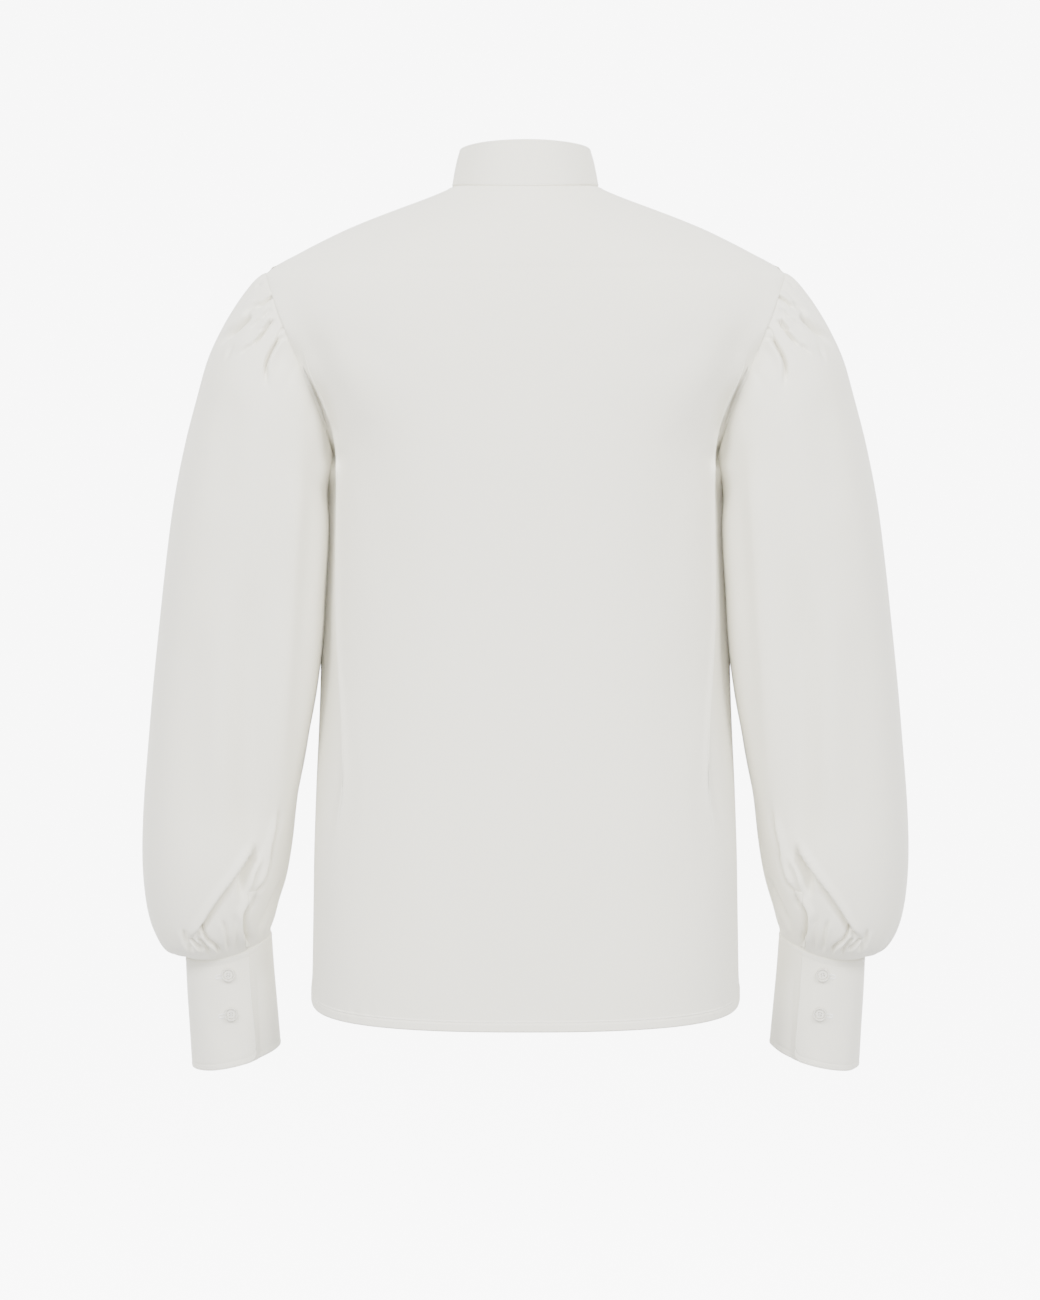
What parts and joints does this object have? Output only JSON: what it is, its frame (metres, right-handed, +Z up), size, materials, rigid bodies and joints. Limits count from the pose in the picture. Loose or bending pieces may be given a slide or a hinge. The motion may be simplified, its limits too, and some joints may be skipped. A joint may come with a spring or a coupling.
{
  "type": "high-necked blouse with puffed sleeves",
  "caption": "Hollow standing-collar blouse as worn, with gathered bishop sleeves, deep buttoned cuffs, a front button band and a curved hem.",
  "frame": {"origin": "on the middle plane between the shoulders, 12 mm in front of the shoulder seams and level with the top of the shoulders at the neck", "axes": "+Z up the wearer's body, +X to the wearer's left, and the wearer faces -Y"},
  "size_m": [0.6204, 0.2471, 0.7364],
  "materials": {
    "shirting": "plain-weave off-white cotton, matt",
    "pearl": "pearly off-white, satin"
  },
  "bodies": {
    "root": {"back": "shirting", "front_left": "shirting", "front_right": "shirting", "front_placket": "shirting", "collar": "shirting", "sleeve_left": "shirting", "sleeve_right": "shirting", "slit_binding_left": "shirting", "slit_binding_right": "shirting", "cuff_left": "shirting", "cuff_right": "shirting", "button_front_1": "pearl", "button_front_2": "pearl", "button_front_3": "pearl", "button_front_4": "pearl", "button_front_5": "pearl", "button_front_6": "pearl", "button_front_7": "pearl", "button_collar": "pearl", "button_cuff_left_1": "pearl", "button_cuff_left_2": "pearl", "button_cuff_right_1": "pearl", "button_cuff_right_2": "pearl"}
  },
  "joints": []
}
